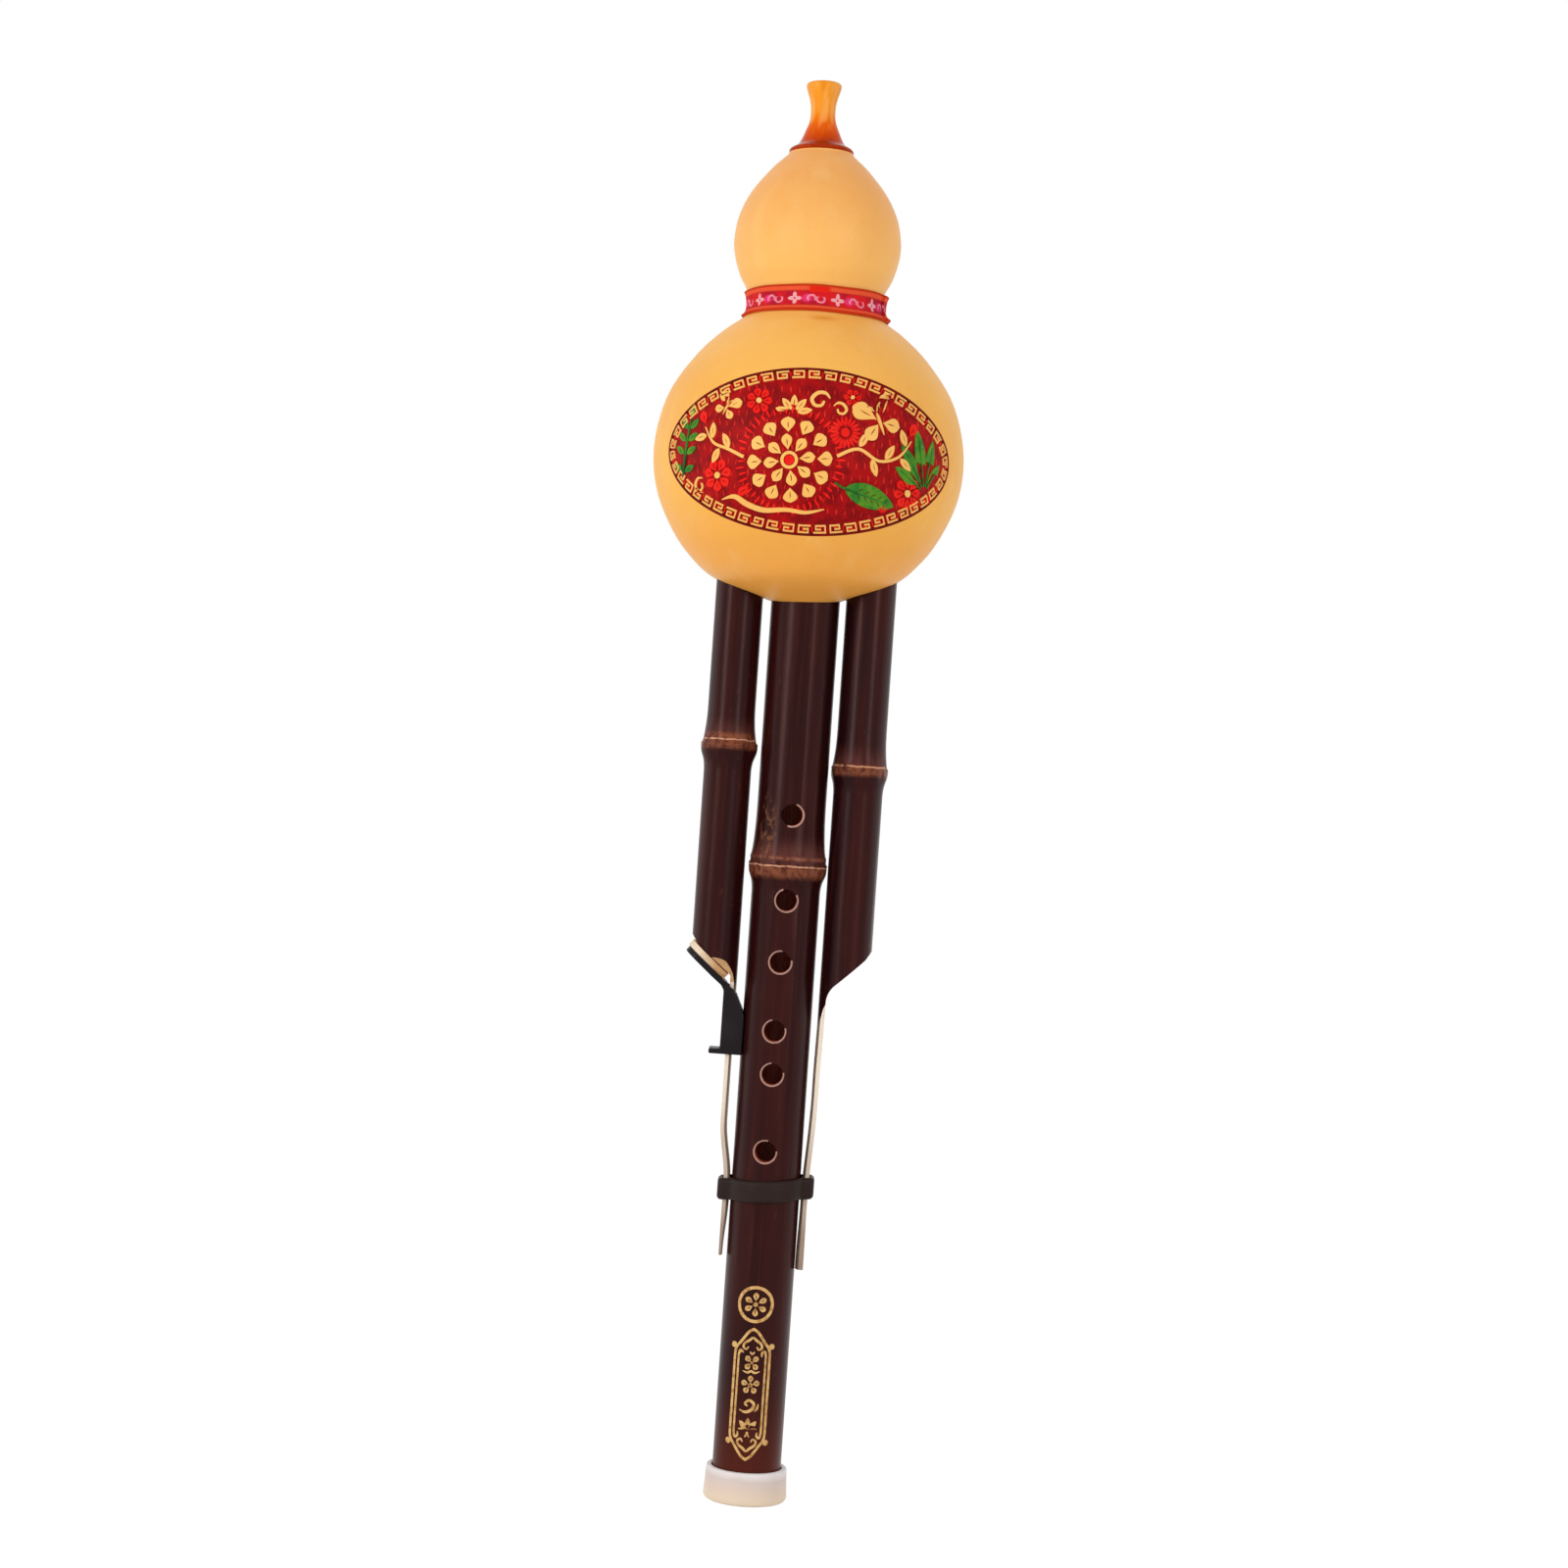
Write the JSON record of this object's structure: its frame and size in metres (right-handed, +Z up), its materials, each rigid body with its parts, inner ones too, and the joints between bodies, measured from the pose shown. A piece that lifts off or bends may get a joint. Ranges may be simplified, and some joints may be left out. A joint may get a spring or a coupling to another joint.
{
  "type": "gourd flute",
  "caption": "Gourd wind chest with a mouthpiece, a finger-holed bamboo melody pipe, two side pipes and a slide key that closes the drone.",
  "frame": {"origin": "middle of the foot cap's lower face, on the melody pipe's axis, where a stand's peg goes in", "axes": "+Z up the melody pipe to the gourd, -Y the side of the finger holes, +X to the right of a viewer who faces the finger holes"},
  "size_m": [0.0984, 0.0984, 0.4499],
  "materials": {
    "gourd_skin": "satin lacquer",
    "amber_resin": "polished",
    "dark_bamboo": "polished",
    "woven_ribbon": "woven",
    "black_rubber": "satin",
    "black_plastic": "satin",
    "cork": "matt",
    "pale_plastic": "satin",
    "reed_brass": "brushed",
    "beeswax": "matt"
  },
  "bodies": {
    "instrument": {"gourd_shell": "gourd_skin", "mouthpiece": "amber_resin", "mouthpiece_seal": "beeswax", "waist_ribbon": "woven_ribbon", "pipe_seal": "beeswax", "melody_pipe": "dark_bamboo", "melody_pipe_plug": "cork", "melody_reed_plate": "reed_brass", "melody_reed_wax": "beeswax", "drone_reed_plate": "reed_brass", "drone_reed_wax": "beeswax", "retaining_ring": "black_rubber", "foot_cap": "pale_plastic", "left_drone_pipe": "dark_bamboo", "left_drone_plug": "cork", "right_side_pipe": "dark_bamboo"},
    "slide_key": {"drone_slide_key": "black_plastic", "drone_slide_pad": "cork"},
    "melody_tongue": {"melody_reed_tongue": "reed_brass"},
    "drone_tongue": {"drone_reed_tongue": "reed_brass"}
  },
  "joints": [
    {"name": "drone_slide", "type": "slide", "parent": "instrument", "child": "slide_key", "axis": [0, 0, -1], "range_m": [0, 0.014]},
    {"name": "melody_tongue_flex", "type": "hinge", "parent": "instrument", "child": "melody_tongue", "pos_m": [0, 0.0099, 0.3086], "axis": [1, 0, 0], "range_deg": [-4, 4], "stiffness_Nm_per_rad": 0.1},
    {"name": "drone_tongue_flex", "type": "hinge", "parent": "instrument", "child": "drone_tongue", "pos_m": [-0.0211, 0.00685, 0.3104], "axis": [1, 0, 0], "range_deg": [-4, 4], "stiffness_Nm_per_rad": 0.1}
  ]
}
